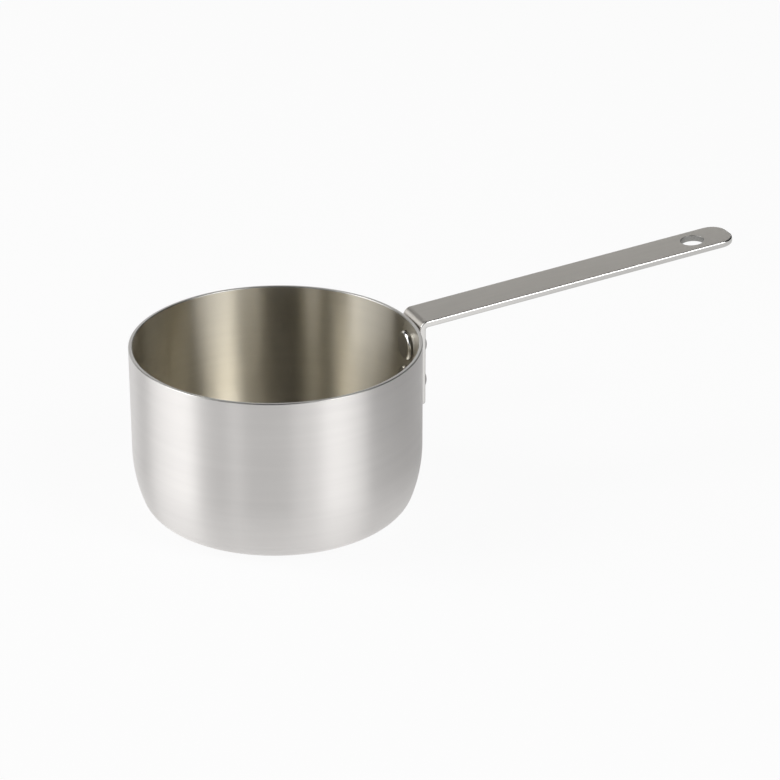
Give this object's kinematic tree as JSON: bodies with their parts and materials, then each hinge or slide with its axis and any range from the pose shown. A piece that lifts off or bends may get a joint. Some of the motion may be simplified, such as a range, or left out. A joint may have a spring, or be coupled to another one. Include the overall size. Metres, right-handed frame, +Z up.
{
  "type": "saucepan",
  "caption": "Small steel serving saucepan: drawn single-wall body with a flat bar handle riveted to the outside of the wall, and a hanging hole at the tip.",
  "frame": {"origin": "centre of the flat underside of the base, on the body's axis", "axes": "+Z up along the body's axis to the rim, +X along the handle from the body to its tip"},
  "size_m": [0.2015, 0.09, 0.0665],
  "materials": {
    "body_steel": "satin, brushed round the body",
    "handle_steel": "satin faces with polished edges",
    "rivet_steel": "bright"
  },
  "bodies": {
    "root": {"pan_body": "body_steel", "handle": "handle_steel", "upper_rivet": "rivet_steel", "lower_rivet": "rivet_steel"}
  },
  "joints": []
}
